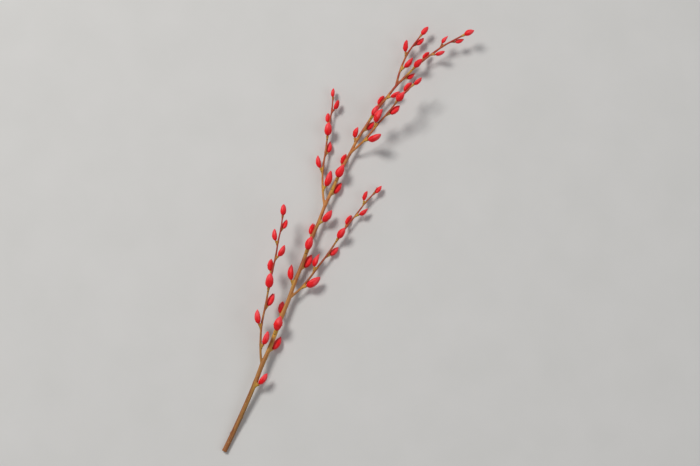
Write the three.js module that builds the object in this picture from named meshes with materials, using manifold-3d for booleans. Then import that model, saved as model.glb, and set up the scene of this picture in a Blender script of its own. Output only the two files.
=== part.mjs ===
// A cut willow branch in catkin, painted red, lying on a flat surface as it would on a bench.
// Millimetres and degrees, +Z up. The cut end is at -Y, the tip at +Y and the origin is on the
// surface, under the middle of the branch. The wood grew as one piece, so it is one mesh, and
// each catkin is a mesh of its own.
import * as THREE from 'three';
import { mergeVertices } from 'three/addons/utils/BufferGeometryUtils.js';
import Module from 'manifold-3d';

// The main stem
const STEM_LENGTH = 620;
const STEM_RADIUS = { base: 3.1, tip: 1.0, power: 0.8 };
const STEM_SWAY = 7; // a slow lean to -X half way up
const STEM_ARCH = 42; // how far the tip arches over to +X
const STEM_ARCH_POWER = 4;
const STEM_BUDS = 29;
const STEM_FIRST_BUD = 92;

// How the stem lies: on its cut end and on the catkins under it, with its tip in the air
const LYING_HEIGHT = { base: 13.9, tip: 8.1 };
const LYING_FROM = 120;
const TIP_LIFT = 17;
const TIP_LIFT_FROM = 470;

// Side twigs: which bud of the stem each grew from, and how it runs
const TWIGS = [
  { name: 'a', bud: 1, length: 186, buds: 9, spread: 6, rise: 24, arch: -8 },
  { name: 'b', bud: 5, length: 172, buds: 8, spread: 8, rise: -3.5, arch: 14 },
  { name: 'c', bud: 11, length: 142, buds: 7, spread: 9, rise: -2.4, arch: -6 },
  { name: 'd', bud: 15, length: 112, buds: 6, spread: 5, rise: 34, arch: 12 },
  { name: 'e', bud: 21, length: 74, buds: 4, spread: 7, rise: 4, arch: 10 },
];
const TWIG_RADIUS = { base: 1.5, tip: 0.9, power: 0.8 };
const TWIG_FIRST_BUD = 25;
const TWIG_FLARE = 27; // extra angle to the stem where a twig leaves it
const TWIG_FLARE_LENGTH = 38; // the length in which that angle fades

// Buds: their places along a shoot and round it
const BUD_CROWDING = 0.25; // how much closer together they are at a shoot's tip
const FIRST_ROLL = 18; // 0 points to the +X side of the shoot and 90 points up
const ROLL_STEP = 144;
const ZIGZAG = 2.6; // how far a shoot turns away from each bud
const ZIGZAG_LENGTH = 9;

// Catkins
const CATKIN_LENGTH = { base: 19.4, tip: 13.2 };
const CATKIN_VARIATION = 0.11;
const CATKIN_WIDTH = 0.52; // of its length
const CATKIN_TILT = 25; // to the shoot
const CATKIN_TILT_VARIATION = 5;
const TERMINAL_TILT = 9;
const CATKIN_SEAT = 2; // from the bark to the middle of a catkin's base
const CATKIN_INNER = 0.6; // the side towards the shoot is flatter than the outer one
const CATKIN_HOOK = 0.05; // how far its tip leans back to the shoot, of its length
const CATKIN_SIDES = 8;
const CATKIN_PROFILE = [
  // [share of the greatest radius, share of the length]
  [0, 0], [0.3, 0], [0.8, 0.14], [1, 0.36], [0.86, 0.58], [0.5, 0.8], [0, 1],
];

// The leaf cushion under each catkin
const CUSHION_BACK = 6.5; // how far below the bud it starts
const CUSHION_TOP = 0.36; // its top radius, of the catkin's greatest radius
const CUSHION_SIDES = 6;
const GAP = 0.3; // between a catkin and the wood

const PATH_STEP = 1;
const STEM_MESH = { step: 12, sides: 8 };
const TWIG_MESH = { step: 11, sides: 6 };
const MERGE_DISTANCE = 1e-4;
const UP = new THREE.Vector3(0, 0, 1);

const BARK = { color: 0x7a4a26, roughness: 0.7, metalness: 0 };
const RED_PAINT = { color: 0xe0242c, roughness: 0.6, metalness: 0 };

const radians = THREE.MathUtils.degToRad;
const { lerp, smoothstep } = THREE.MathUtils;

// A number from 0 to 1 that looks random and is the same each time.
function scatter(index, salt) {
  const value = Math.sin(index * 12.9898 + salt * 78.233) * 43758.5453;
  return value - Math.floor(value);
}

function budPlaces(count, first, last) {
  return Array.from({ length: count }, (_, index) => {
    const share = index / (count - 1);
    return first + (last - first) * share * (1 + BUD_CROWDING * (1 - share));
  });
}

const budRoll = (index) => (FIRST_ROLL + ROLL_STEP * index) % 360;

// The sideways turn that the buds passed so far have given a shoot.
function zigzag(distance, buds) {
  let turn = 0;
  let before = 0;
  buds.forEach((place, index) => {
    const after = -ZIGZAG * Math.cos(radians(budRoll(index)));
    turn += (after - before) * smoothstep(distance, place - ZIGZAG_LENGTH / 2, place + ZIGZAG_LENGTH / 2);
    before = after;
  });
  return turn;
}

// A shoot is a path over the surface, given by its heading and its height at each distance.
class Shoot {
  constructor({ name, length, buds, radius, heading, height, start }) {
    Object.assign(this, { name, length, buds, radius, height });
    this.headingAt = (distance) => heading(distance) + zigzag(distance, buds);
    this.places = [new THREE.Vector2(start.x, start.y)];
    for (let distance = 0; distance < length; distance += PATH_STEP) {
      const angle = radians(this.headingAt(distance + PATH_STEP / 2));
      const step = new THREE.Vector2(Math.sin(angle), Math.cos(angle)).multiplyScalar(PATH_STEP);
      this.places.push(this.places.at(-1).clone().add(step));
    }
  }

  radiusAt(distance) {
    const { base, tip, power } = this.radius;
    return tip + (base - tip) * (1 - Math.min(distance / this.length, 1)) ** power;
  }

  // The middle of the shoot at a distance, with its direction and the two directions across it.
  frameAt(distance) {
    const index = Math.min(Math.floor(distance / PATH_STEP), this.places.length - 2);
    const flat = this.places[index].clone().lerp(this.places[index + 1], distance / PATH_STEP - index);
    const slope = this.height(distance + PATH_STEP) - this.height(distance);
    const angle = radians(this.headingAt(distance));
    const along = new THREE.Vector3(Math.sin(angle), Math.cos(angle), slope / PATH_STEP).normalize();
    const side = along.clone().cross(UP).normalize();
    const up = side.clone().cross(along);
    return { middle: new THREE.Vector3(flat.x, flat.y, this.height(distance)), along, side, up };
  }
}

function growStem() {
  return new Shoot({
    name: 'stem',
    length: STEM_LENGTH,
    buds: budPlaces(STEM_BUDS, STEM_FIRST_BUD, STEM_LENGTH),
    radius: STEM_RADIUS,
    start: new THREE.Vector3(),
    heading: (distance) => {
      const share = distance / STEM_LENGTH;
      return STEM_ARCH * share ** STEM_ARCH_POWER - STEM_SWAY * Math.sin(Math.PI * share);
    },
    height: (distance) => {
      const onCatkins = lerp(LYING_HEIGHT.base, LYING_HEIGHT.tip, distance / STEM_LENGTH);
      const lying = lerp(STEM_RADIUS.base, onCatkins, smoothstep(distance, 0, LYING_FROM));
      const lifted = Math.max(0, distance - TIP_LIFT_FROM) / (STEM_LENGTH - TIP_LIFT_FROM);
      return lying + TIP_LIFT * lifted ** 2;
    },
  });
}

function growTwig(stem, twig) {
  const leaves = stem.buds[twig.bud];
  const start = stem.frameAt(leaves).middle;
  const stemHeading = stem.headingAt(leaves);
  const towards = Math.sign(Math.cos(radians(budRoll(twig.bud))));
  return new Shoot({
    name: `twig_${twig.name}`,
    length: twig.length,
    buds: budPlaces(twig.buds, TWIG_FIRST_BUD, twig.length),
    radius: TWIG_RADIUS,
    start,
    heading: (distance) => {
      const flare = TWIG_FLARE * Math.exp(-distance / TWIG_FLARE_LENGTH);
      return stemHeading + towards * (twig.spread + flare) + twig.arch * (distance / twig.length) ** 2;
    },
    height: (distance) => start.z + twig.rise * (1 - (1 - Math.min(distance / twig.length, 1)) ** 2),
  });
}

// A straight lathed rod, bent along the shoot: its length follows the path.
function shootGeometry(shoot, { step, sides }) {
  const rings = Math.round(shoot.length / step);
  const profile = [new THREE.Vector2(0, 0)];
  for (let ring = 0; ring <= rings; ring++) {
    const distance = (shoot.length * ring) / rings;
    profile.push(new THREE.Vector2(shoot.radiusAt(distance), distance));
  }
  profile.push(new THREE.Vector2(0, shoot.length));
  const geometry = new THREE.LatheGeometry(profile, sides);
  const place = geometry.attributes.position;
  for (let index = 0; index < place.count; index++) {
    const { middle, side, up } = shoot.frameAt(place.getY(index));
    const point = middle.addScaledVector(side, place.getX(index)).addScaledVector(up, place.getZ(index));
    place.setXYZ(index, point.x, point.y, point.z);
  }
  return geometry;
}

// Where a catkin sits: the middle of its base, its long axis and the direction away from the shoot.
function catkinSeat(shoot, index) {
  const distance = shoot.buds[index];
  const terminal = index === shoot.buds.length - 1;
  const salt = shoot.name.charCodeAt(shoot.name.length - 1);
  const { middle, along, side, up } = shoot.frameAt(distance);
  const roll = radians(budRoll(index));
  const away = side.clone().multiplyScalar(Math.cos(roll)).addScaledVector(up, Math.sin(roll));
  const variation = (scatter(index, salt) * 2 - 1) * CATKIN_TILT_VARIATION;
  const tilt = radians(terminal ? TERMINAL_TILT : CATKIN_TILT + variation);
  const axis = along.clone().multiplyScalar(Math.cos(tilt)).addScaledVector(away, Math.sin(tilt));
  const outward = away.clone().addScaledVector(axis, -away.dot(axis)).normalize();
  const fullLength = lerp(CATKIN_LENGTH.base, CATKIN_LENGTH.tip, (distance / shoot.length) ** 2);
  const length = fullLength * (1 + CATKIN_VARIATION * (scatter(index, salt + 1) * 2 - 1));
  const seat = terminal ? 0 : shoot.radiusAt(distance) + CATKIN_SEAT;
  const base = middle.clone().addScaledVector(away, seat).addScaledVector(axis, terminal ? GAP : 0);
  const across = new THREE.Vector3().crossVectors(outward, axis);
  return { distance, base, outward, axis, across, length, radius: (length * CATKIN_WIDTH) / 2, terminal };
}

// A lathed shape's X, Y and Z become these three directions, which may lean and stretch it.
function placeOn(geometry, base, outward, axis, across) {
  return geometry.applyMatrix4(new THREE.Matrix4().makeBasis(outward, axis, across).setPosition(base));
}

function catkinGeometry({ base, axis, outward, across, length, radius }) {
  const profile = CATKIN_PROFILE.map(([width, height]) => new THREE.Vector2(width * radius, height * length));
  const geometry = new THREE.LatheGeometry(profile, CATKIN_SIDES);
  const place = geometry.attributes.position;
  for (let index = 0; index < place.count; index++) {
    const flattened = Math.min(place.getX(index), 0) * CATKIN_INNER + Math.max(place.getX(index), 0);
    const hook = CATKIN_HOOK * length * (place.getY(index) / length) ** 3;
    place.setX(index, flattened - hook);
  }
  return placeOn(geometry, base, outward, axis, across);
}

// The cushion starts as thick as the shoot and leans up to the catkin. Its top is square to the catkin.
function cushionGeometry(shoot, { distance, base, outward, axis, across, radius }) {
  const foot = shoot.frameAt(distance - CUSHION_BACK).middle;
  const top = base.clone().addScaledVector(axis, -GAP);
  const profile = [
    new THREE.Vector2(0, 0),
    new THREE.Vector2(shoot.radiusAt(distance), 0),
    new THREE.Vector2(CUSHION_TOP * radius, 1),
    new THREE.Vector2(0, 1),
  ];
  return placeOn(new THREE.LatheGeometry(profile, CUSHION_SIDES), foot, outward, top.sub(foot), across);
}

const wasm = await Module();
wasm.setup();

function toSolid(geometry) {
  geometry.deleteAttribute('normal');
  geometry.deleteAttribute('uv');
  const merged = mergeVertices(geometry, MERGE_DISTANCE);
  return new wasm.Manifold(new wasm.Mesh({
    numProp: 3,
    vertProperties: new Float32Array(merged.attributes.position.array),
    triVerts: new Uint32Array(merged.index.array),
  }));
}

function fromSolid(solid) {
  const { vertProperties, triVerts } = solid.getMesh();
  const geometry = new THREE.BufferGeometry();
  geometry.setAttribute('position', new THREE.BufferAttribute(vertProperties, 3));
  geometry.setIndex(new THREE.BufferAttribute(triVerts, 1));
  return geometry;
}

function addMesh(group, name, geometry, finish) {
  const mesh = new THREE.Mesh(geometry, new THREE.MeshStandardMaterial(finish));
  mesh.name = name;
  group.add(mesh);
}

const branch = new THREE.Group();
const stem = growStem();
const twigs = TWIGS.map((twig) => growTwig(stem, twig));
let wood = toSolid(shootGeometry(stem, STEM_MESH));
for (const twig of twigs) {
  wood = wood.add(toSolid(shootGeometry(twig, TWIG_MESH)));
}

for (const shoot of [stem, ...twigs]) {
  shoot.buds.forEach((_, index) => {
    if (shoot === stem && TWIGS.some((twig) => twig.bud === index)) {
      return; // this bud grew out into a twig
    }
    const seat = catkinSeat(shoot, index);
    if (!seat.terminal) {
      wood = wood.add(toSolid(cushionGeometry(shoot, seat)));
    }
    const number = String(index + 1).padStart(2, '0');
    addMesh(branch, `catkin_${shoot.name}_${number}`, catkinGeometry(seat), RED_PAINT);
  });
}
addMesh(branch, 'branch_wood', fromSolid(wood), BARK);

// The origin goes on the surface, under the middle of the branch.
const box = new THREE.Box3().setFromObject(branch);
const middle = box.getCenter(new THREE.Vector3());
branch.position.set(-middle.x, -middle.y, -box.min.z);

export default branch;
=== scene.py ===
"""A cut branch of pussy willow in catkin, painted red, lying on a pale surface.

The wood is modelled straight, as rods with a leaf cushion under each bud, bent along the paths
that the branch grew in, and fused into one piece. The catkins are modelled once for each kind
and copied to the places of the CAD catkins.
"""

import math
import random
from contextlib import contextmanager

import bmesh
import bpy
import numpy as np
from mathutils import Matrix, Vector


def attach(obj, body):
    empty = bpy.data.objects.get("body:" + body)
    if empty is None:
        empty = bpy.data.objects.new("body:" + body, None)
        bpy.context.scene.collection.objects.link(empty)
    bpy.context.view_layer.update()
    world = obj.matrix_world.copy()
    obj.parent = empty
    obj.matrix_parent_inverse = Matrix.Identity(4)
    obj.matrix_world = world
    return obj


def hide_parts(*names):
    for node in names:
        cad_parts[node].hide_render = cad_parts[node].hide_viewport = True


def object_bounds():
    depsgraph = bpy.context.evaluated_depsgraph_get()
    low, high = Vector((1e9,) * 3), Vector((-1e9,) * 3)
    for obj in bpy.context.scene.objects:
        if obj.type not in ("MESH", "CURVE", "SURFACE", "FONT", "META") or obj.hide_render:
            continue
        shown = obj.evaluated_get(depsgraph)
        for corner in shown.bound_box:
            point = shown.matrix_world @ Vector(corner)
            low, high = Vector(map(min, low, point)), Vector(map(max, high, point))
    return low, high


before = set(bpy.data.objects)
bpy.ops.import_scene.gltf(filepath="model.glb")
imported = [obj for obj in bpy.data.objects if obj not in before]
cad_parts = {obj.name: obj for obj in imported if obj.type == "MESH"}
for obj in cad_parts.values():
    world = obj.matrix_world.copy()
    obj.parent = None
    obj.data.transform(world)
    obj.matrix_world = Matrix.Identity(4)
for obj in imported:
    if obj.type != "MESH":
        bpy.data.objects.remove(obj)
cad_low, cad_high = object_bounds()

MM = 0.001
WOOD_NODE = "branch_wood"

# How the branch grew, in millimetres and degrees, as in the part's own source.
STEM_LENGTH = 620
STEM_RADIUS = (3.1, 1.0)
STEM_SWAY = 7
STEM_ARCH = 42
STEM_ARCH_POWER = 4
STEM_BUDS = 29
STEM_FIRST_BUD = 92
LYING_HEIGHT = (13.9, 8.1)
LYING_FROM = 120
TIP_LIFT = 17
TIP_LIFT_FROM = 470
TWIGS = {
    "a": {"bud": 1, "length": 186, "buds": 9, "spread": 6, "rise": 24, "arch": -8},
    "b": {"bud": 5, "length": 172, "buds": 8, "spread": 8, "rise": -3.5, "arch": 14},
    "c": {"bud": 11, "length": 142, "buds": 7, "spread": 9, "rise": -2.4, "arch": -6},
    "d": {"bud": 15, "length": 112, "buds": 6, "spread": 5, "rise": 34, "arch": 12},
    "e": {"bud": 21, "length": 74, "buds": 4, "spread": 7, "rise": 4, "arch": 10},
}
TWIG_RADIUS = (1.5, 0.9)
TWIG_FIRST_BUD = 25
TWIG_FLARE = 27
TWIG_FLARE_LENGTH = 38
TAPER_POWER = 0.8
BUD_CROWDING = 0.25
FIRST_ROLL = 18
ROLL_STEP = 144
ZIGZAG = 2.6
ZIGZAG_LENGTH = 9
CATKIN_SEAT = 2.0
CATKIN_LENGTH = (19.4, 13.2)
CATKIN_WIDTH = 0.52
PATH_STEP = 1

# The wood's fine shape
KNUCKLE = 0.28  # how far the wood swells at a bud
KNUCKLE_LENGTH = 2.6
COLLAR = 0.55  # how far a twig swells where it leaves the stem
COLLAR_LENGTH = 4.0
END_FLARE = 0.55  # how far a shoot swells under its last catkin, and how far it reaches into it
END_FLARE_LENGTH = 5.0
END_REACH = 0.9
RING_GAP = 2.0
STEM_SIDES = 20
TWIG_SIDES = 14
DORMANT_BUDS = {24: 200, 47: 20, 69: 110}  # distance from the cut end: roll
DORMANT_SIZE = (0.35, 1.15, 2.6)  # how far it stands out, and its half width and half length
CUSHION_LENGTH = 1.85  # of the catkin's radius
CUSHION_WIDTH = 0.45
WITHERED_TIPS = ("twig_b", "twig_d")
AWL_SIZE = (0.7, 0.7, 8.5)
PATH_POINT_GAP = 2  # on the curve that a straight rod is bent along
FUSED_CELL = 0.48  # the remesh that makes the wood one piece
WOOD_SEED = 11

# Marks on the wood, for its material
POINTS_AT_ONCE = 6000
BUD_REACH = 15
TIP_REACH = 12
CUT_DEPTH = 0.35
STRENGTHS = (0.4, 1.0)  # how gold a cushion is
MIST_AT_CUT = 0.1  # how much red mist has settled, from 0 to 1, and how much more at the tip
MIST_GAIN = 0.82
TWIG_MIST = 0.42
TWIG_MIST_GAIN = 0.5
TWIG_MIST_LENGTH = 45  # over how much of a twig its mist takes over from the stem's

# How one catkin differs from the next, in millimetres, degrees and shares of its length
CATKIN_SEED = 4
DENT = 0.55
DENT_WIDTH = 3.2
ROLL_VARIATION = 14
GIRTHS = (0.91, 1.03)

# The catkin's fine shape: its length is 1 on Z, and +X faces away from the wood
SCALE_PAINT = "painted scale"
SILK_PAINT = "painted silk"
SEGMENTS = 24
RINGS = 16
INNER_SIDE = 0.6  # how deep the side that faces the wood is, beside the outer side
SCALE_THICKNESS = 0.018
FLANK = 78  # where the two keels run, in degrees from the outer side
END_SLOPES = (12, -5)  # how steeply an outline leaves the foot and meets the tip
HEIGHTS = [0, 0.04, 0.1, 0.2, 0.32, 0.45, 0.6, 0.74, 0.85, 0.93, 1]
OUTLINES = {
    "plain": [0, 0.36, 0.6, 0.84, 0.97, 1, 0.93, 0.74, 0.49, 0.26, 0],
    "round": [0, 0.38, 0.64, 0.88, 1, 1, 0.95, 0.8, 0.58, 0.36, 0],
    "beaked": [0, 0.36, 0.62, 0.88, 1, 0.97, 0.83, 0.58, 0.34, 0.17, 0],
}


# ---------------------------------------------------------------- growth

def smooth_step(value, low, high):
    share = np.clip((value - low) / (high - low), 0, 1)
    return share * share * (3 - 2 * share)


def bud_places(count, first, last):
    share = np.arange(count) / (count - 1)
    return first + (last - first) * share * (1 + BUD_CROWDING * (1 - share))


def bud_roll(index):
    return (FIRST_ROLL + ROLL_STEP * index) % 360


class Shoot:
    """A shoot's path over the surface, in millimetres, from its heading and its height."""

    def __init__(self, name, length, buds, radius, heading, height, start, leaves=0.0):
        self.name, self.length, self.buds, self.radius = name, length, buds, radius
        self.heading, self.height = heading, height
        self.leaves = leaves  # how far along the stem it branches off
        self.distances = np.arange(0, length + PATH_STEP, PATH_STEP)
        angle = np.radians(self.heading_at(self.distances[:-1] + PATH_STEP / 2))
        self.x = start[0] + np.concatenate([[0], np.cumsum(np.sin(angle))]) * PATH_STEP
        self.y = start[1] + np.concatenate([[0], np.cumsum(np.cos(angle))]) * PATH_STEP
        rise = np.diff(height(self.distances))
        self.lengths = np.concatenate([[0], np.cumsum(np.hypot(rise, PATH_STEP))])

    def heading_at(self, distance):
        turn, before = self.heading(distance), 0
        for index, place in enumerate(self.buds):
            after = -ZIGZAG * math.cos(math.radians(bud_roll(index)))
            half = ZIGZAG_LENGTH / 2
            turn = turn + (after - before) * smooth_step(distance, place - half, place + half)
            before = after
        return turn

    def radius_at(self, distance):
        base, tip = self.radius
        return tip + (base - tip) * (1 - np.minimum(distance / self.length, 1)) ** TAPER_POWER

    def frames(self, distance):
        """The path's points, with its direction and the two directions across it."""
        distance = np.atleast_1d(np.asarray(distance, float))
        x, y = np.interp(distance, self.distances, self.x), np.interp(distance, self.distances, self.y)
        middle = np.stack([x, y, self.height(distance)], 1)
        angle = np.radians(self.heading_at(distance))
        slope = (self.height(distance + PATH_STEP) - self.height(distance)) / PATH_STEP
        along = np.stack([np.sin(angle), np.cos(angle), slope], 1)
        along /= np.linalg.norm(along, axis=1)[:, None]
        side = np.cross(along, (0, 0, 1))
        side /= np.linalg.norm(side, axis=1)[:, None]
        return middle, along, side, np.cross(side, along)

    def true_length(self, distance):
        """How far along the wood a distance over the surface is."""
        return np.interp(distance, self.distances, self.lengths)


def grow_stem():
    def heading(distance):
        share = distance / STEM_LENGTH
        return STEM_ARCH * share**STEM_ARCH_POWER - STEM_SWAY * np.sin(np.pi * share)

    def height(distance):
        on_catkins = LYING_HEIGHT[0] + (LYING_HEIGHT[1] - LYING_HEIGHT[0]) * distance / STEM_LENGTH
        lying = STEM_RADIUS[0] + (on_catkins - STEM_RADIUS[0]) * smooth_step(distance, 0, LYING_FROM)
        lifted = np.maximum(0, distance - TIP_LIFT_FROM) / (STEM_LENGTH - TIP_LIFT_FROM)
        return lying + TIP_LIFT * lifted**2

    buds = bud_places(STEM_BUDS, STEM_FIRST_BUD, STEM_LENGTH)
    return Shoot("stem", STEM_LENGTH, buds, STEM_RADIUS, heading, height, (0, 0))


def grow_twig(stem, name, bud, length, buds, spread, rise, arch):
    leaves = stem.buds[bud]
    start = stem.frames(leaves)[0][0]
    stem_heading = float(stem.heading_at(leaves))
    towards = math.copysign(1, math.cos(math.radians(bud_roll(bud))))

    def heading(distance):
        flare = TWIG_FLARE * np.exp(-distance / TWIG_FLARE_LENGTH)
        return stem_heading + towards * (spread + flare) + arch * (distance / length) ** 2

    def height(distance):
        return start[2] + rise * (1 - (1 - np.minimum(distance / length, 1)) ** 2)

    places = bud_places(buds, TWIG_FIRST_BUD, length)
    return Shoot(f"twig_{name}", length, places, TWIG_RADIUS, heading, height, start, leaves)


# ---------------------------------------------------------------- modelling by hand

def choose(*objects):
    """Selects these objects and nothing else."""
    bpy.ops.object.select_all(action="DESELECT")
    for obj in objects:
        obj.select_set(True)
    bpy.context.view_layer.objects.active = objects[0]


@contextmanager
def editing(obj):
    choose(obj)
    bpy.ops.object.mode_set(mode="EDIT")
    bpy.ops.mesh.select_all(action="DESELECT")
    yield
    bpy.ops.object.mode_set(mode="OBJECT")


def pick(obj, kind, test):
    """Selects what passes the test: VERT, EDGE or FACE. Returns how many do."""
    bpy.ops.mesh.select_mode(type=kind)
    bpy.ops.mesh.select_all(action="DESELECT")
    mesh = bmesh.from_edit_mesh(obj.data)
    items = {"VERT": mesh.verts, "EDGE": mesh.edges, "FACE": mesh.faces}[kind]
    found = [item for item in items if test(item)]
    for item in found:
        item.select_set(True)
    bmesh.update_edit_mesh(obj.data)
    return len(found)


def apply_modifier(obj, kind, **settings):
    choose(obj)
    modifier = obj.modifiers.new(kind.lower(), kind)
    for key, value in settings.items():
        setattr(modifier, key, value)
    bpy.ops.object.modifier_apply(modifier=modifier.name)


def points_of(obj):
    return np.array([vertex.co for vertex in obj.data.vertices])


def new_object(name, data):
    obj = bpy.data.objects.new(name, data)
    bpy.context.scene.collection.objects.link(obj)
    return obj


def copy_of(obj, name):
    choose(obj)
    bpy.ops.object.duplicate(linked=False)
    copy = bpy.context.object
    copy.name = copy.data.name = name
    return copy


def join(objects, name):
    choose(*objects)
    if len(objects) > 1:
        bpy.ops.object.join()
    joined = bpy.context.object
    joined.name = joined.data.name = name
    return joined


def rings_of(obj):
    """The vertices of an upright round mesh, ring by ring from the bottom, as lists of indices."""
    rings = {}
    for vertex in obj.data.vertices:
        rings.setdefault(round(vertex.co.z, 6), []).append(vertex.index)
    return [rings[height] for height in sorted(rings)]


def shape_rings(obj, shape):
    """Reshapes an upright round mesh ring by ring in edit mode.

    shape(share of its height) gives the ring's scale on X and Y, its new height and its shift on X.
    """
    rings = rings_of(obj)
    heights = [obj.data.vertices[ring[0]].co.z for ring in rings]
    low, high = heights[0], heights[-1]
    with editing(obj):
        bpy.ops.mesh.select_mode(type="VERT")
        for ring, height in zip(rings, heights):
            wide, deep, place, shift = shape((height - low) / (high - low))
            bpy.ops.mesh.select_all(action="DESELECT")
            mesh = bmesh.from_edit_mesh(obj.data)
            mesh.verts.ensure_lookup_table()
            for index in ring:
                mesh.verts[index].select_set(True)
            bmesh.update_edit_mesh(obj.data)
            if len(ring) > 1:
                bpy.ops.transform.resize(value=(wide, deep, 1), center_override=(0, 0, height))
            bpy.ops.transform.translate(value=(shift, 0, place - height))


def upright_cylinder(sides, radius, low, high, cuts):
    """A cylinder on Z, cut into rings of vertices."""
    middle = (0, 0, (low + high) / 2)
    bpy.ops.mesh.primitive_cylinder_add(vertices=sides, radius=radius, depth=high - low, location=middle)
    cylinder = bpy.context.object
    bpy.ops.object.transform_apply(location=True, rotation=True, scale=True)
    with editing(cylinder):
        pick(cylinder, "EDGE", lambda edge: abs(edge.verts[0].co.z - edge.verts[1].co.z) > MM)
        bpy.ops.mesh.subdivide(number_cuts=cuts)
    return cylinder


# ---------------------------------------------------------------- wood

def straight_rod(shoot):
    """One shoot as a straight upright rod, in metres, with its taper, knuckles and collar."""
    length = shoot.lengths[-1]
    sides = STEM_SIDES if shoot.name == "stem" else TWIG_SIDES
    rod = upright_cylinder(sides, MM, 0, length * MM, cuts=round(length / RING_GAP) - 1)

    def shape(share):
        distance = float(np.interp(share * length, shoot.lengths, shoot.distances))
        away = (distance - shoot.buds) / KNUCKLE_LENGTH
        radius = float(shoot.radius_at(distance)) + KNUCKLE * float(np.exp(-away**2).sum())
        if shoot.name != "stem":
            radius += COLLAR * math.exp(-distance / COLLAR_LENGTH)
        near_end = float(smooth_step(distance, shoot.length - END_FLARE_LENGTH, shoot.length))
        radius += END_FLARE * near_end
        return radius, radius, (share * length + END_REACH * near_end) * MM, 0

    shape_rings(rod, shape)
    return rod


def leaf_cushion():
    """The swollen foot of a bud. It runs from the middle of the wood, 1 below the bud, out to its seat.

    X is 1 at the seat, Y is 1 at its widest and Z is 0 at the bud.
    """
    cushion = upright_cylinder(16, 1, -1, 0, cuts=11)

    def shape(share):
        return 0.2 + 0.24 * share, 0.35 + 0.65 * share**1.2, share - 1, 0.15 + 0.85 * share**1.6

    shape_rings(cushion, shape)
    with editing(cushion):
        pick(cushion, "FACE", lambda face: face.normal.z > 0.9)
        bpy.ops.mesh.inset(thickness=0.12)
        bpy.ops.transform.translate(value=(0, 0, 0.02))
        pick(cushion, "VERT", lambda vertex: vertex.co.z > -0.3)
        bpy.ops.transform.resize(value=(1.03, 1.03, 1), center_override=(1, 0, 0))
    for vertex in cushion.data.vertices:  # the seat faces along the catkin
        vertex.co.z -= 0.2 * (vertex.co.x - 1) * max(0, 1 + vertex.co.z)
    return cushion


def dormant_bud():
    """A bud that didn't open: a small flattened cone pressed to the bark, on the cushion's axes."""
    bpy.ops.mesh.primitive_uv_sphere_add(segments=12, ring_count=10, radius=0.5, location=(0, 0, 0))
    bud = bpy.context.object

    def shape(share):
        return 0.62 - 0.4 * share**2, 2 - 1.1 * share**2, 2 * share - 1, 0.82 + 0.1 * share

    shape_rings(bud, shape)
    return bud


def withered_tip():
    """The dried end of a shoot: a crooked awl that leaves beside the last catkin."""
    awl = upright_cylinder(10, 1, 0, 1, cuts=7)

    def shape(share):
        thin = 1 - 0.45 * share + 0.1 * math.sin(9 * share)
        return thin, thin, share, 7.6 * share - 1.4 * share**2

    shape_rings(awl, shape)
    return awl


def stand_on_rod(model, name, shoot, distance, roll, scale):
    """Copies a small model onto the straight rod at a bud. scale is millimetres on X, Y and Z."""
    piece = copy_of(model, name)
    # On a rod that will be bent with Z up, the shoot's side is -X and its up is +Y.
    away = Vector((-math.cos(math.radians(roll)), math.sin(math.radians(roll)), 0))
    along = Vector((0, 0, 1))
    across = along.cross(away)
    place = Vector((0, 0, float(shoot.true_length(distance)) * MM))
    columns = [axis * size * MM for axis, size in zip((away, across, along), scale)]
    piece.data.transform(Matrix.Translation(place) @ Matrix(columns).transposed().to_4x4())
    return piece


def bend_along(rod, shoot, origin):
    """Bends a straight upright rod along the shoot's path, and applies it."""
    distances = np.linspace(0, shoot.length, round(shoot.length / PATH_POINT_GAP) + 1)
    points = shoot.frames(distances)[0] * MM + origin
    curve = bpy.data.curves.new("path", "CURVE")
    curve.dimensions, curve.twist_mode = "3D", "Z_UP"
    spline = curve.splines.new("POLY")
    spline.points.add(len(points) - 1)
    for point, place in zip(spline.points, points):
        point.co = (*place, 1)
    path = new_object("path", curve)
    apply_modifier(rod, "CURVE", object=path, deform_axis="POS_Z")
    bpy.data.objects.remove(path)
    bpy.data.curves.remove(curve)


def cut_centre():
    """The middle of the CAD wood's cut end: its corners furthest to -Y."""
    corners = points_of(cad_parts[WOOD_NODE])
    end = corners[corners[:, 1] < corners[:, 1].min() + 0.05 * MM]
    end = np.unique(np.round(end, 6), axis=0)
    rim = end[np.linalg.norm(end - end.mean(0), axis=1) > MM]
    return (rim.min(0) + rim.max(0)) / 2


def write_attribute(mesh, name, values):
    """Stores a number for each point or, where values has three columns, a vector."""
    kind, field = ("FLOAT_VECTOR", "vector") if values.ndim == 2 else ("FLOAT", "value")
    attribute = mesh.attributes.new(name, kind, "POINT")
    attribute.data.foreach_set(field, values.astype(np.float32).ravel())


def overspray(shoot, distance):
    """How much red mist has settled on the wood: little near the cut end and most at the tips."""
    on_stem = MIST_AT_CUT + MIST_GAIN * np.clip((distance + shoot.leaves) / STEM_LENGTH, 0, 1) ** 1.6
    if shoot.name == "stem":
        return on_stem
    on_twig = TWIG_MIST + TWIG_MIST_GAIN * np.clip(distance / shoot.length, 0, 1)
    return on_stem + (on_twig - on_stem) * smooth_step(distance, 0, TWIG_MIST_LENGTH)


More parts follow.
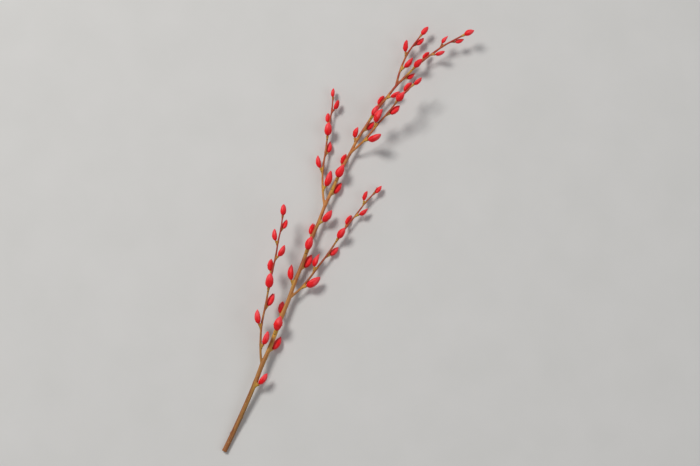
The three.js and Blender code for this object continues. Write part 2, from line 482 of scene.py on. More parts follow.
def follow_grain(corners, shoots):
    """For each point: how far it is across, over and along the nearest shoot, its mist and its cut."""
    count = len(corners)
    grain, best = np.zeros((count, 3)), np.full(count, np.inf)
    mist, cut = np.zeros(count), np.zeros(count)
    for shoot in shoots:
        distances = np.arange(0, shoot.length + PATH_STEP / 2, PATH_STEP)
        middle, along, side, up = shoot.frames(distances)
        for block in np.array_split(np.arange(count), max(1, count // POINTS_AT_ONCE)):
            gaps = ((corners[block, None, :] - middle[None]) ** 2).sum(2)
            nearest = gaps.argmin(1)
            offset = corners[block] - middle[nearest]
            across = (offset * side[nearest]).sum(1)
            lift = (offset * up[nearest]).sum(1)
            place = distances[nearest] + (offset * along[nearest]).sum(1)
            proud = np.hypot(across, lift) - shoot.radius_at(distances[nearest])
            closer = proud < best[block]
            chosen = block[closer]
            best[chosen] = proud[closer]
            grain[chosen] = np.stack([across, lift, place + shoot.leaves], 1)[closer]
            mist[chosen] = overspray(shoot, place[closer])
            cut[chosen] = (place[closer] < CUT_DEPTH) & (shoot.name == "stem")
    return grain, mist, cut


def mark_bud(corners, bud, cushion, scar):
    """Adds one bud's gold cushion, and below it the dark crescent of its leaf scar."""
    offset = corners - bud["middle"]
    near = np.flatnonzero((offset**2).sum(1) < BUD_REACH**2)
    ahead, out, across = (offset[near] @ bud[axis] for axis in ("along", "away", "across"))
    length, radius = bud["length"], bud["radius"]
    mark = smooth_step(ahead, -1.5 * length, -0.5 * length) * (1 - smooth_step(ahead, 0.8, 3))
    mark *= smooth_step(out, -0.2 * radius, 0.7 * radius) * bud["strength"]
    cushion[near] = np.maximum(cushion[near], mark)
    crescent = ahead + 0.55 * length - 0.3 * across**2
    line = (1 - smooth_step(np.abs(crescent), 0.2, 0.55)) * (1 - smooth_step(np.abs(across), 1.1, 1.6))
    scar[near] = np.maximum(scar[near], line * (out > radius * 0.8))


def mark_wood(wood, shoots, origin, buds):
    """Stores where each point of the fused wood is along and across its shoot, and its marks."""
    corners = (points_of(wood) - origin) / MM
    grain, mist, cut = follow_grain(corners, shoots)
    cushion, scar, withered = np.zeros((3, len(corners)))
    for bud in buds:
        mark_bud(corners, bud, cushion, scar)
    for shoot in shoots:
        end, along = (value[0] for value in shoot.frames(shoot.length)[:2])
        beyond = (corners - end) @ along
        near = np.linalg.norm(corners - end, axis=1) < TIP_REACH
        cushion = np.maximum(cushion, 0.7 * smooth_step(beyond, -6, -1.5) * near)
        if shoot.name in WITHERED_TIPS:
            withered = np.maximum(withered, smooth_step(beyond, 0.6, 2) * near)
    write_attribute(wood.data, "grain", grain * MM)
    marks = {"overspray": mist, "cushion": cushion, "scar": scar, "withered": withered, "cut_face": cut}
    for name, values in marks.items():
        write_attribute(wood.data, name, values)


def add_cushions(shoot, cushion, chance):
    """The cushions under a shoot's catkins, on its straight rod, with what marks their buds on the wood.

    The catkin at the tip has none, and neither has a bud of the stem that grew into a twig.
    """
    grown = {twig["bud"] for twig in TWIGS.values()} if shoot.name == "stem" else ()
    parts, buds = [], []
    for index, distance in enumerate(shoot.buds[:-1]):
        if index in grown:
            continue
        share = (distance / shoot.length) ** 2
        catkin_length = CATKIN_LENGTH[0] * (1 - share) + CATKIN_LENGTH[1] * share
        radius, roll = float(shoot.radius_at(distance)), bud_roll(index)
        length = CUSHION_LENGTH * catkin_length * CATKIN_WIDTH / 2
        width = CUSHION_WIDTH * catkin_length * CATKIN_WIDTH / 2
        scale = (radius + CATKIN_SEAT, width, length)
        parts.append(stand_on_rod(cushion, "cushion", shoot, distance, roll, scale))
        middle, along, side, up = (value[0] for value in shoot.frames(distance))
        away = side * math.cos(math.radians(roll)) + up * math.sin(math.radians(roll))
        axes = {"middle": middle, "along": along, "away": away, "across": np.cross(along, away)}
        strength = STRENGTHS[0] + (STRENGTHS[1] - STRENGTHS[0]) * chance.random()
        buds.append({**axes, "radius": radius, "length": length, "strength": strength})
    return parts, buds


def add_dormant_buds(shoot, sleeper):
    stands_out, half_width, half_length = DORMANT_SIZE
    parts = []
    for distance, roll in DORMANT_BUDS.items():
        scale = (float(shoot.radius_at(distance)) + stands_out, half_width, half_length)
        parts.append(stand_on_rod(sleeper, "sleeper", shoot, distance, roll, scale))
    return parts


def make_wood(chance):
    """The whole wood as one fused piece, in the row frame."""
    stem = grow_stem()
    shoots = [stem] + [grow_twig(stem, name, **twig) for name, twig in TWIGS.items()]
    origin = cut_centre() - np.array((0, 0, STEM_RADIUS[0] * MM))
    cushion, sleeper, awl = leaf_cushion(), dormant_bud(), withered_tip()
    rods, buds = [], []
    for shoot in shoots:
        parts = [straight_rod(shoot)]
        cushions, its_buds = add_cushions(shoot, cushion, chance)
        parts += cushions
        buds += its_buds
        if shoot.name == "stem":
            parts += add_dormant_buds(shoot, sleeper)
        if shoot.name in WITHERED_TIPS:
            roll = bud_roll(len(shoot.buds) - 1) + 180
            parts.append(stand_on_rod(awl, "awl", shoot, shoot.length - 1, roll, AWL_SIZE))
        rod = join(parts, shoot.name)
        bend_along(rod, shoot, origin)
        rods.append(rod)
    for model in (cushion, sleeper, awl):
        bpy.data.objects.remove(model)
    wood = join(rods, "wood")
    apply_modifier(wood, "REMESH", mode="VOXEL", voxel_size=FUSED_CELL * MM)
    apply_modifier(wood, "SMOOTH", factor=0.5, iterations=3)
    mark_wood(wood, shoots, origin, buds)
    choose(wood)
    bpy.ops.object.shade_smooth()
    return wood


# ---------------------------------------------------------------- catkins

def close_to(value, place, width):
    """1 where a value is at a place, and fading to 0 over a width on both sides."""
    return np.exp(-(((value - place) / width) ** 2))


def egg(outline, width=1.0, height=1.0, keel=0.0, brow=0.0, groove=0.0):
    """An egg 1 long on Z: flatter on its inner side, with keels and a groove up the inside.

    A keel runs down each flank, and a third one, the brow, on the outer side, brow degrees off its middle.
    """
    bpy.ops.mesh.primitive_uv_sphere_add(
        segments=SEGMENTS, ring_count=RINGS, radius=0.5, location=(0, 0, 0.5)
    )
    body = bpy.context.object
    bpy.ops.object.transform_apply(location=True, rotation=True, scale=True)

    def shape(share):
        sphere = 2 * math.sqrt(max(share * (1 - share), 1e-9))
        factor = outline_radius(OUTLINES[outline], share) * CATKIN_WIDTH * width / sphere
        return factor, factor, share * height, 0

    shape_rings(body, shape)
    with editing(body):
        pick(body, "VERT", lambda vertex: vertex.co.x < -1e-5)
        bpy.ops.transform.resize(value=(INNER_SIDE, 1, 1), center_override=(0, 0, 0))
    for vertex in body.data.vertices:
        around = math.degrees(math.atan2(vertex.co.y, vertex.co.x))
        raised = 1 + keel * close_to(abs(around), FLANK, 9) - groove * close_to(abs(around), 180, 8)
        raised += keel * (0.7 * close_to(around, brow, 10) - 0.5 * close_to(abs(around - brow / 2), 42, 14))
        vertex.co.x *= raised
        vertex.co.y *= raised
    return body


def outline_radius(outline, height):
    """The outline's radius at a height, on a smooth curve through its points."""
    place = np.searchsorted(HEIGHTS, height, side="right") - 1
    place = int(np.clip(place, 0, len(HEIGHTS) - 2))
    low, high = HEIGHTS[place], HEIGHTS[place + 1]
    share = (height - low) / (high - low)
    slopes = np.gradient(outline, HEIGHTS)
    slopes[0], slopes[-1] = END_SLOPES
    first, second = slopes[place] * (high - low), slopes[place + 1] * (high - low)
    cube, square = share**3, share**2
    return (
        (2 * cube - 3 * square + 1) * outline[place]
        + (cube - 2 * square + share) * first
        + (3 * square - 2 * cube) * outline[place + 1]
        + (cube - square) * second
    )


def lean_in(obj, hook, skew=0.0):
    """Bends the tip back towards the wood, and a little to one side."""
    for vertex in obj.data.vertices:
        height = max(vertex.co.z, 0)
        vertex.co.x -= hook * height**3
        vertex.co.y += skew * height**2


def open_seam(obj, inner_from, outer_from, spread):
    """Slits a scale up its inner side, and over the tip down its outer side, and spreads the lips."""

    def on_seam(edge):
        ends = [vertex.co for vertex in edge.verts]
        if any(abs(end.y) > 1e-4 for end in ends):
            return False
        middle = (ends[0] + ends[1]) / 2
        return middle.z > (inner_from if middle.x < 0 else outer_from)

    with editing(obj):
        pick(obj, "EDGE", on_seam)
        bpy.ops.mesh.edge_split(type="EDGE")
        mesh = bmesh.from_edit_mesh(obj.data)
        sides = {}
        for vertex in mesh.verts:
            sides[vertex] = sum(face.calc_center_median().y for face in vertex.link_faces)
        for vertex, side in sides.items():
            start = inner_from if vertex.co.x < 0.02 else outer_from
            if abs(side) < 1e-6 or vertex.co.z <= start:
                continue
            opened = (vertex.co.z - start) / (1 - start)
            near_seam = math.exp(-((abs(vertex.co.y) / 0.16) ** 2))
            vertex.co.y += math.copysign(spread, side) * opened * (0.35 + 0.65 * near_seam)
        bmesh.update_edit_mesh(obj.data)


def tear(obj, height, keep_above, ragged, flare, seed, slant):
    """Cuts a scale off with a ragged edge that stands a little away from the silk."""
    chance = random.Random(seed)
    normal = Vector((slant, slant / 2, 1)).normalized()
    point = Vector((0, 0, height))
    with editing(obj):
        bpy.ops.mesh.select_all(action="SELECT")
        bpy.ops.mesh.bisect(
            plane_co=point, plane_no=normal, clear_inner=keep_above, clear_outer=not keep_above
        )
        mesh = bmesh.from_edit_mesh(obj.data)
        rim = [vertex for vertex in mesh.verts if abs((vertex.co - point).dot(normal)) < 1e-4]
        rim.sort(key=lambda vertex: math.atan2(vertex.co.y, vertex.co.x))
        wave = chance.uniform(0, math.tau)
        for index, vertex in enumerate(rim):
            around = index / len(rim) * math.tau
            lobes = 0.5 * math.sin(3 * around + wave) + 0.4 * math.sin(5 * around + 2 * wave)
            notch = chance.choice((-1, -0.2, 0, 0.2, 0.6))
            vertex.co.z += ragged * (0.7 * lobes + 0.6 * notch)
            stand = 1 + flare * (0.5 + 0.5 * math.sin(2 * around - wave)) * chance.uniform(0.5, 1)
            vertex.co.x *= stand
            vertex.co.y *= stand
        bmesh.update_edit_mesh(obj.data)


def paint_with(obj, material):
    obj.data.materials.clear()
    obj.data.materials.append(material)


def mark_catkin(piece, hook, skew, brow):
    """Stores how near the tip each point is, and where the keels (1) and the inner groove (-1) run."""
    x, y, height = points_of(piece).T
    height = np.clip(height, 0, 1)
    around = np.degrees(np.arctan2(y - skew * height**2, x + hook * height**3))
    keels = np.maximum(close_to(abs(around), FLANK, 11), 0.8 * close_to(around, brow, 11))
    groove = close_to(abs(around), 180, 10)
    write_attribute(piece.data, "tipward", height)
    write_attribute(piece.data, "keel", (keels - groove) * smooth_step(height, 0.08, 0.35))


def finish_catkin(scale, silk, hook, skew=0.0, brow=0.0):
    """Thickens an open scale, smooths both pieces and joins them."""
    if silk:
        apply_modifier(scale, "SOLIDIFY", thickness=SCALE_THICKNESS, offset=-1, use_rim=True)
    pieces = [(scale, SCALE_PAINT)] + ([(silk, SILK_PAINT)] if silk else [])
    for piece, paint in pieces:
        lean_in(piece, hook, skew)
        apply_modifier(piece, "SUBSURF", levels=1, render_levels=1)
        choose(piece)
        bpy.ops.object.shade_smooth()
        paint_with(piece, bpy.data.materials[paint])
        mark_catkin(piece, hook, skew, brow)
    return join([piece for piece, paint in pieces], "catkin_model")


def closed_catkin(outline, width, hook, skew, keel, brow):
    return finish_catkin(egg(outline, width, keel=keel, brow=brow, groove=0.12), None, hook, skew, brow)


def split_catkin(outline, opened, hook, skew):
    """The scale has opened up the inside and over the tip, which leaves two points."""
    scale, silk = egg(outline, keel=0.06), egg("round", width=0.93, height=0.9)
    open_seam(scale, inner_from=0.36, outer_from=0.74 - opened, spread=0.05 + 0.3 * opened)
    return finish_catkin(scale, silk, hook, skew)


def capped_catkin(height, slant, seed, hook):
    """The scale has broken at its foot and sits on the silk as a ragged cap."""
    scale, silk = egg("plain", width=1.05, keel=0.07), egg("round", width=0.98, height=0.94)
    tear(scale, height, True, ragged=0.05, flare=0.16, seed=seed, slant=slant)
    return finish_catkin(scale, silk, hook)


def skirted_catkin(height, slant, seed):
    """The silk has burst the scale, which is left as a torn skirt round its foot."""
    scale, silk = egg("plain", width=1.04, keel=0.05), egg("round", width=1.0)
    tear(scale, height, False, ragged=0.08, flare=0.2, seed=seed, slant=slant)
    return finish_catkin(scale, silk, hook=0.03)


def model_catkins():
    """Each kind of catkin once, with how common it is."""
    return {
        "plain": (closed_catkin("plain", 1.0, 0.05, 0.02, keel=0.08, brow=18), 3),
        "round": (closed_catkin("round", 0.98, 0.03, -0.03, keel=0.1, brow=-30), 3),
        "beaked": (closed_catkin("beaked", 1.03, 0.1, 0.04, keel=0.08, brow=-15), 3),
        "parted": (split_catkin("plain", 0.04, 0.05, -0.02), 1.6),
        "forked": (split_catkin("beaked", 0.3, 0.02, 0.03), 1),
        "low_cap": (capped_catkin(0.15, 0.15, 5, 0.05), 1.6),
        "high_cap": (capped_catkin(0.36, -0.3, 8, 0.08), 1.4),
        "skirted": (skirted_catkin(0.4, 0.35, 9), 1),
    }


def seat_of(node):
    """Where a CAD catkin sits: the middle of its base, its tip and the way it faces."""
    corners = np.unique(np.round(points_of(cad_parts[node]), 6), axis=0)
    middle = corners.mean(0)
    long_axis = np.linalg.svd(corners - middle)[2][0]
    if long_axis[1] < 0:
        long_axis = -long_axis
    along = (corners - middle) @ long_axis
    tip = corners[along.argmax()]
    base = corners[along < along.min() + 0.6 * MM].mean(0)
    axis = (tip - base) / np.linalg.norm(tip - base)
    outward = (middle - base) - axis * ((middle - base) @ axis)
    return Vector(base), Vector(tip), Vector(outward).normalized()


def place_catkin(model, node, dents, chance):
    """Copies a catkin model to a CAD catkin's place and size, with a girth, a roll and dents of its own."""
    piece = copy_of(model, node.replace("catkin", "painted_catkin"))
    base, tip, outward = seat_of(node)
    length = (tip - base).length
    axis = (tip - base) / length
    roll = math.radians(chance.uniform(-ROLL_VARIATION, ROLL_VARIATION))
    outward = Matrix.Rotation(roll, 3, axis) @ outward
    across = axis.cross(outward)
    girth = length * chance.uniform(*GIRTHS)
    turn = Matrix((outward * girth, across * girth, axis * length)).transposed().to_4x4()
    piece.data.transform(Matrix.Translation(base) @ turn)
    piece.data.update()
    apply_modifier(
        piece, "DISPLACE", texture=dents, texture_coords="LOCAL", strength=DENT * MM, mid_level=0.5
    )
    return piece


def make_catkins(chance):
    dents = bpy.data.textures.new("paint dents", "CLOUDS")
    dents.noise_scale, dents.noise_depth = DENT_WIDTH * MM, 2
    kinds = model_catkins()
    nodes = sorted(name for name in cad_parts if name.startswith("catkin_"))
    ends = {name.rsplit("_", 1)[0]: name for name in nodes}
    pieces = {}
    for node in nodes:
        kind = chance.choices(list(kinds), weights=[weight for model, weight in kinds.values()])[0]
        if node in ends.values():
            kind = chance.choice(("plain", "round"))
        pieces[node] = place_catkin(kinds[kind][0], node, dents, chance)
    for model, weight in kinds.values():
        bpy.data.objects.remove(model)
    return pieces


# ---------------------------------------------------------------- shader node groups

def add_node(tree, kind, **inputs):
    """Adds a shader node, sets its properties, and sets or links its inputs.

    i0 is the first input, and To_Min is the one of that name.
    """
    node = tree.nodes.new(f"ShaderNode{kind}")
    for key, value in inputs.items():
        if hasattr(node, key) and not key[0].isupper():
            setattr(node, key, value)
            continue
        numbered = key[0] == "i" and key[1:].isdigit()
        socket = node.inputs[int(key[1:]) if numbered else key.replace("_", " ")]
        if isinstance(value, bpy.types.NodeSocket):
            tree.links.new(value, socket)
        else:
            socket.default_value = value
    return node


def maths(tree, operation, first, second=0.0, clamp=False):
    node = add_node(tree, "Math", operation=operation, use_clamp=clamp, i0=first, i1=second)
    return node.outputs[0]


def vector_maths(tree, operation, first, second):
    return add_node(tree, "VectorMath", operation=operation, i0=first, i1=second).outputs[0]


def noise(tree, place, scale, detail):
    return add_node(tree, "TexNoise", Vector=place, Scale=scale, Detail=detail).outputs["Fac"]


def times(tree, first, second):
    return maths(tree, "MULTIPLY", first, second)


def add_some(tree, value, other, amount, clamp=False):
    """value + other x amount."""
    return maths(tree, "ADD", value, times(tree, other, amount), clamp)


def vary(tree, value, cloud, amount):
    """A value raised and lowered by a noise, which runs from 0 to 1."""
    return add_some(tree, value, maths(tree, "SUBTRACT", cloud, 0.5), amount)


def blend(tree, share, first, second):
    node = add_node(tree, "Mix", data_type="RGBA", i0=share, i6=first, i7=second)
    return node.outputs[2]


def step_between(tree, value, low, high):
    """0 below low and 1 above high, with a soft step between."""
    return add_node(
        tree, "MapRange", interpolation_type="SMOOTHSTEP", Value=value, From_Min=low, From_Max=high
    ).outputs[0]


def new_group(name, inputs, outputs):
    group = bpy.data.node_groups.new(name, "ShaderNodeTree")
    for label, kind, default in inputs:
        socket = group.interface.new_socket(label, in_out="INPUT", socket_type=f"NodeSocket{kind}")
        if default is not None:
            socket.default_value = default
    for label, kind in outputs:
        group.interface.new_socket(label, in_out="OUTPUT", socket_type=f"NodeSocket{kind}")
    return group, group.nodes.new("NodeGroupInput").outputs, group.nodes.new("NodeGroupOutput").inputs


def fibre_group():
    """Long fine streaks. Stretch says how much longer than wide they are, along the vector's Z."""
    group, given, put = new_group(
        "fibres",
        [("Vector", "Vector", None), ("Width", "Float", 0.001), ("Stretch", "Float", 12.0)],
        [("Streaks", "Float"), ("Patches", "Float")],
    )
    scale = maths(group, "DIVIDE", 1.0, given["Width"])
    along = maths(group, "DIVIDE", scale, given["Stretch"])
    sizes = add_node(group, "CombineXYZ", X=scale, Y=scale, Z=along).outputs[0]
    place = vector_maths(group, "MULTIPLY", given["Vector"], sizes)
    streaks = add_node(group, "TexNoise", Vector=place, Scale=1.0, Detail=3.0, Roughness=0.6)
    wide = add_node(group, "VectorMath", operation="SCALE", i0=place, Scale=0.13).outputs[0]
    group.links.new(streaks.outputs["Fac"], put["Streaks"])
    group.links.new(noise(group, wide, scale=1.0, detail=2.0), put["Patches"])
    return group


def spray_group():
    """Where a mist of spray paint has settled: specks where Amount is low, a full coat where it is high."""
    group, given, put = new_group(
        "spray mist",
        [("Vector", "Vector", None), ("Amount", "Float", 0.5), ("Speck", "Float", 0.0006)],
        [("Coat", "Float"), ("Depth", "Float")],
    )
    scale = maths(group, "DIVIDE", 1.0, given["Speck"])
    fine = noise(group, given["Vector"], scale, detail=2.0)
    drift = noise(group, given["Vector"], times(group, scale, 0.06), detail=2.0)
    level = vary(group, given["Amount"], drift, 1.1)
    wet = vary(group, level, fine, 0.9)
    group.links.new(step_between(group, wet, 0.3, 0.7), put["Coat"])
    group.links.new(step_between(group, level, 0.2, 1.1), put["Depth"])
    return group


def use_group(tree, group, **inputs):
    return add_node(tree, "Group", node_tree=group, **inputs).outputs


# ---------------------------------------------------------------- materials

def new_material(name, **constants):
    material = bpy.data.materials.new(name)
    material.use_nodes = True
    tree = material.node_tree
    shader = tree.nodes["Principled BSDF"]
    for key, value in constants.items():
        shader.inputs[key.replace("_", " ")].default_value = value
    return material, tree, shader


def attribute(tree, name, output="Fac"):
    return add_node(tree, "Attribute", attribute_name=name).outputs[output]


def object_place(tree):
    return add_node(tree, "TexCoord").outputs["Object"]


def bump(tree, shader, height, distance):
    node = add_node(tree, "Bump", Height=height, Distance=distance, Strength=1.0)
    tree.links.new(node.outputs[0], shader.inputs["Normal"])


BARK_DARK = (0.15, 0.045, 0.016, 1)
BARK_BROWN = (0.37, 0.13, 0.033, 1)
BARK_ORANGE = (0.62, 0.25, 0.06, 1)
BARK_OLIVE = (0.36, 0.22, 0.045, 1)
LENTICEL = (0.6, 0.33, 0.13, 1)
CUSHION_GOLD = (0.66, 0.33, 0.04, 1)
CUSHION_GREEN = (0.48, 0.28, 0.035, 1)
SCAR_BROWN = (0.09, 0.035, 0.018, 1)
SPRAY_RED = (0.46, 0.022, 0.014, 1)
SPRAY_DARK = (0.2, 0.016, 0.012, 1)
WOOD_CREAM = (0.66, 0.5, 0.27, 1)
PITH = (0.3, 0.17, 0.07, 1)
SURFACE_GREY = (0.60, 0.595, 0.58, 1)
SURFACE_PALE = (0.66, 0.65, 0.64, 1)
# The deep red is painted shade at a catkin's foot and in its inner groove, and also the colour of its dark
# hair streaks.
PAINT_SHADE_AND_HAIR_RED = (0.6, 0.002, 0.004, 1)
PAINT_RED = (0.88, 0.008, 0.012, 1)
# The coral is partly the paint's own lighter tone and partly painted highlight.
PAINT_CORAL_AND_HIGHLIGHT = (0.95, 0.062, 0.075, 1)

# The bark's markings, in metres
SPECK = 0.0005
CUT_END_SHADE_FADE = (0.05, 0.42)  # from the cut: where the painted shade near the cut end gives way to more golden wood
LENTICEL_CELLS = (420, 420, 210)  # to a metre, across and along the wood
OLIVE_SHIFT = (0.3, 0.1, 0.7)  # so that the olive streaks don't follow the brown ones
BARK_RELIEF = 0.00022

# Across the cut end, in millimetres
RING_SCALE = 0.32
PITH_EDGE = (0.5, 0.75)
BARK_EDGE = (2.55, 2.75)

# The paint on a bud scale and on the silk. A hair has its width and its stretch, and the roughness
# is that of dry and of wet paint.
# A finish's coral share is partly the paint's own lighter tone and partly painted highlight.
SCALE_FINISH = {
    "sheen": 0.07,
    "hair": (0.03, 7.0),
    "coral_and_highlight": 1.0,
    "dark_hairs": 0.18,
    "coat": 0.5,
    "roughness": (0.56, 0.33),
    "relief": 0.0002,
}
SILK_FINISH = {
    "sheen": 0.18,
    "hair": (0.012, 14.0),
    "coral_and_highlight": 0.55,
    "dark_hairs": 0.45,
    "coat": 0.35,
    "roughness": (0.72, 0.5),
    "relief": 0.0004,
}


def bare_bark(tree, fibres, grain, streaks, fine):
    """Brown bark with olive streaks, browner near the cut end as painted shade and more golden further
    along.
    """
    brown = blend(tree, step_between(tree, streaks["Streaks"], 0.36, 0.62), BARK_DARK, BARK_BROWN)
    warm = add_some(tree, streaks["Patches"], fine["Streaks"], 0.3)
    from_cut = add_node(tree, "SeparateXYZ", Vector=grain).outputs["Z"]
    # Painted shade: the wood is browner near the cut end and turns more golden further along.
    warm = add_some(tree, warm, step_between(tree, from_cut, *CUT_END_SHADE_FADE), 0.22)
    colour = blend(tree, step_between(tree, warm, 0.55, 0.83), brown, BARK_ORANGE)
    shifted = vector_maths(tree, "ADD", grain, OLIVE_SHIFT)
    olive = use_group(tree, fibres, Vector=shifted, Width=0.0016, Stretch=16.0)["Patches"]
    return blend(tree, times(tree, step_between(tree, olive, 0.5, 0.7), 0.45), colour, BARK_OLIVE)


def lenticel_spots(tree, grain):
    """1 on the pale raised spots of the bark, and 0 between them."""
    stretched = vector_maths(tree, "MULTIPLY", grain, LENTICEL_CELLS)
    cells = add_node(tree, "TexVoronoi", Vector=stretched, Scale=1.0, Randomness=1.0)
    size = add_node(tree, "SeparateColor", Color=cells.outputs["Color"]).outputs["Red"]
    spot = maths(tree, "SUBTRACT", cells.outputs["Distance"], times(tree, size, 0.2))
    return maths(tree, "SUBTRACT", 1.0, step_between(tree, spot, 0.0, 0.07))


def sprayed(tree, mist, colour, amount, fine):
    """A mist of red paint over a colour: a thin tint with specks on it."""
    paint = use_group(tree, mist, Vector=object_place(tree), Amount=amount, Speck=SPECK)
    depth = times(tree, paint["Depth"], step_between(tree, fine["Streaks"], 0.25, 0.6))
    red = blend(tree, depth, SPRAY_DARK, SPRAY_RED)
    cover = add_some(tree, times(tree, paint["Depth"], 0.45), paint["Coat"], 0.5, clamp=True)
    return blend(tree, cover, colour, red)


def cut_wood(tree, grain):
    """The cut end: pith in the middle, rings round it and bark at the rim."""
    across = vector_maths(tree, "MULTIPLY", grain, (1 / MM, 1 / MM, 0))
    radius = add_node(tree, "VectorMath", operation="LENGTH", i0=across).outputs["Value"]
    wave = {"wave_type": "RINGS", "rings_direction": "Z", "Scale": RING_SCALE, "Distortion": 1.5}
    rings = add_node(tree, "TexWave", Vector=across, **wave).outputs["Fac"]
    face = blend(tree, step_between(tree, radius, *PITH_EDGE), PITH, WOOD_CREAM)
    face = blend(tree, times(tree, rings, 0.35), face, BARK_OLIVE)
    return blend(tree, step_between(tree, radius, *BARK_EDGE), face, BARK_BROWN)


def bark_material(fibres, mist):
    material, tree, shader = new_material("willow bark", Specular_IOR_Level=0.35)
    grain = attribute(tree, "grain", "Vector")
    streaks = use_group(tree, fibres, Vector=grain, Width=0.0011, Stretch=22.0)
    fine = use_group(tree, fibres, Vector=grain, Width=0.0004, Stretch=9.0)
    lenticels, swollen = lenticel_spots(tree, grain), attribute(tree, "cushion")
    colour = bare_bark(tree, fibres, grain, streaks, fine)
    colour = blend(tree, times(tree, lenticels, 0.55), colour, LENTICEL)
    ochre = step_between(tree, streaks["Streaks"], 0.4, 0.65)
    colour = blend(tree, swollen, colour, blend(tree, ochre, CUSHION_GREEN, CUSHION_GOLD))
    colour = blend(tree, attribute(tree, "scar"), colour, SCAR_BROWN)
    amount = add_some(tree, attribute(tree, "overspray"), swollen, -0.5)
    colour = sprayed(tree, mist, colour, amount, fine)
    colour = blend(tree, attribute(tree, "withered"), colour, SCAR_BROWN)
    colour = blend(tree, attribute(tree, "cut_face"), colour, cut_wood(tree, grain))
    tree.links.new(colour, shader.inputs["Base Color"])

    rough = add_node(tree, "MapRange", Value=fine["Streaks"], To_Min=0.45, To_Max=0.72).outputs[0]
    tree.links.new(rough, shader.inputs["Roughness"])
    relief = add_some(tree, streaks["Streaks"], fine["Streaks"], 0.5)
    relief = add_some(tree, relief, lenticels, 0.9)
    bump(tree, shader, relief, BARK_RELIEF)
    return material


def catkin_paint(name, fibres, mist, silky):
    """Red spray paint on a bud scale, or on the silk under it, which is duller and shows its hairs."""
    finish = SILK_FINISH if silky else SCALE_FINISH
    material, tree, shader = new_material(
        name,
        Sheen_Weight=finish["sheen"],
        Sheen_Roughness=0.45,
        Sheen_Tint=(1, 0.5, 0.5, 1),
        Specular_IOR_Level=0.28,
    )
    place = object_place(tree)
    along = attribute(tree, "tipward")
    round_it = add_node(tree, "UVMap", uv_map="UVMap").outputs["UV"]
    turned = add_node(tree, "SeparateXYZ", Vector=round_it).outputs
    lengthwise = add_node(tree, "CombineXYZ", X=turned["X"], Y=0.0, Z=turned["Y"]).outputs[0]
    width, stretch = finish["hair"]
    hairs = use_group(tree, fibres, Vector=lengthwise, Width=width, Stretch=stretch)

    keel = attribute(tree, "keel")
    # Coral towards the tip and along the keels: partly the paint's own lighter tone, partly painted
    # highlight on the upper part and the ridges.
    light = add_some(tree, along, keel, 0.26)
    light = vary(tree, light, noise(tree, place, scale=240.0, detail=3.0), 0.55)
    from_catkin_to_catkin = noise(tree, place, scale=30.0, detail=1.0)
    light = vary(tree, light, from_catkin_to_catkin, 1.2)
    light = step_between(tree, light, 0.42, 0.9)
    light = times(tree, light, finish["coral_and_highlight"])
    colour = blend(tree, light, PAINT_RED, PAINT_CORAL_AND_HIGHLIGHT)
    # Darker red at the catkin's foot and in its inner groove is painted shade.
    deep = times(tree, maths(tree, "SUBTRACT", 1.0, step_between(tree, along, 0.0, 0.22)), 0.6)
    deep = add_some(tree, deep, keel, -0.6, clamp=True)
    colour = blend(tree, deep, colour, PAINT_SHADE_AND_HAIR_RED)
    dark_hairs = step_between(tree, hairs["Streaks"], 0.6, 0.42)
    dark_hairs = times(tree, dark_hairs, finish["dark_hairs"])
    colour = blend(tree, dark_hairs, colour, PAINT_SHADE_AND_HAIR_RED)
    coat = use_group(tree, mist, Vector=place, Amount=finish["coat"], Speck=0.0007)
    tree.links.new(colour, shader.inputs["Base Color"])

    dry, wet = finish["roughness"]
    rough = add_node(tree, "MapRange", Value=coat["Coat"], To_Min=dry, To_Max=wet).outputs[0]
    tree.links.new(rough, shader.inputs["Roughness"])
    relief = add_some(tree, hairs["Streaks"], coat["Coat"], 0.25)
    bump(tree, shader, relief, finish["relief"])
    return material


def surface_material():
    material, tree, shader = new_material("pale surface", Roughness=0.85, Specular_IOR_Level=0.2)
    mottle = noise(tree, object_place(tree), scale=14.0, detail=4.0)
    colour = blend(tree, mottle, SURFACE_GREY, SURFACE_PALE)
    tree.links.new(colour, shader.inputs["Base Color"])
    return material


# ---------------------------------------------------------------- the scene

def lay_surface(material):
    bpy.ops.object.select_all(action="DESELECT")
    bpy.ops.mesh.primitive_plane_add(size=12, location=(0, 0, 0))
    surface = bpy.context.object
    surface.name = "surface"
    paint_with(surface, material)


LEAN = math.radians(26)  # the branch leans to the right in the view
RIGHT = Vector((math.cos(LEAN), math.sin(LEAN), 0))
AHEAD = Vector((-math.sin(LEAN), math.cos(LEAN), 0))
CAMERA_ELEVATION = math.radians(80)
CAMERA_DISTANCE = 2.06
CAMERA_LENS = 85
KEY_COLOUR = (1, 0.985, 0.955)
FILL_COLOUR = (0.94, 0.97, 1)
ROOM_COLOUR = (0.8, 0.81, 0.83, 1)
ROOM_STRENGTH = 0.36


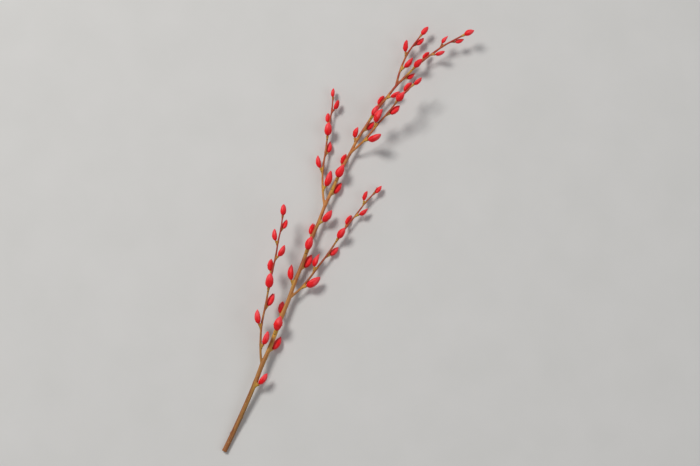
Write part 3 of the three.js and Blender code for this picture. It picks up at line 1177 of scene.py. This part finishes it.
def middle_of_view():
    """The middle of what the camera sees of the branch."""
    corners = np.concatenate([points_of(node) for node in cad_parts.values()])
    right, ahead = corners @ np.array(RIGHT), corners @ np.array(AHEAD)
    middle = RIGHT * float(right.min() + right.max()) / 2 + AHEAD * float(ahead.min() + ahead.max()) / 2
    return middle + Vector((0, 0, (cad_low.z + cad_high.z) / 2))


def set_camera():
    """The camera looks down on the branch, with its tip up and to the right."""
    back = Vector((0, 0, math.sin(CAMERA_ELEVATION))) - AHEAD * math.cos(CAMERA_ELEVATION)
    up = back.cross(RIGHT)
    camera = new_object("camera", bpy.data.cameras.new("camera"))
    camera.data.lens = CAMERA_LENS
    camera.matrix_world = Matrix((RIGHT, up, back)).transposed().to_4x4()
    camera.location = middle_of_view() + back * CAMERA_DISTANCE
    bpy.context.scene.camera = camera


def add_softbox(name, place, size, power, colour):
    light = bpy.data.lights.new(name, "AREA")
    light.size, light.energy, light.color = size, power, colour
    lamp = new_object(name, light)
    lamp.location = place
    lamp.rotation_euler = (-place).to_track_quat("-Z", "Y").to_euler()


def light_scene():
    up = Vector((0, 0, 1))
    key_place = AHEAD * 1.8 - RIGHT * 1.8 + up * 3.4
    fill_place = RIGHT * 2.8 - AHEAD * 1.4 + up * 2.8
    add_softbox("key light", key_place, size=1.2, power=122, colour=KEY_COLOUR)
    add_softbox("fill light", fill_place, size=2.6, power=24, colour=FILL_COLOUR)
    world = bpy.data.worlds.new("room")
    world.use_nodes = True
    background = world.node_tree.nodes["Background"]
    background.inputs["Color"].default_value = ROOM_COLOUR
    background.inputs["Strength"].default_value = ROOM_STRENGTH
    bpy.context.scene.world = world
    bpy.context.scene.view_settings.view_transform = "Standard"


def finish_piece(piece, node):
    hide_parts(node)
    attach(piece, "root")


fibres, mist = fibre_group(), spray_group()
catkin_paint(SCALE_PAINT, fibres, mist, silky=False)
catkin_paint(SILK_PAINT, fibres, mist, silky=True)

wood = make_wood(random.Random(WOOD_SEED))
paint_with(wood, bark_material(fibres, mist))
wood.name = "willow_wood"
finish_piece(wood, WOOD_NODE)
for node, piece in make_catkins(random.Random(CATKIN_SEED)).items():
    finish_piece(piece, node)

lay_surface(surface_material())
set_camera()
light_scene()
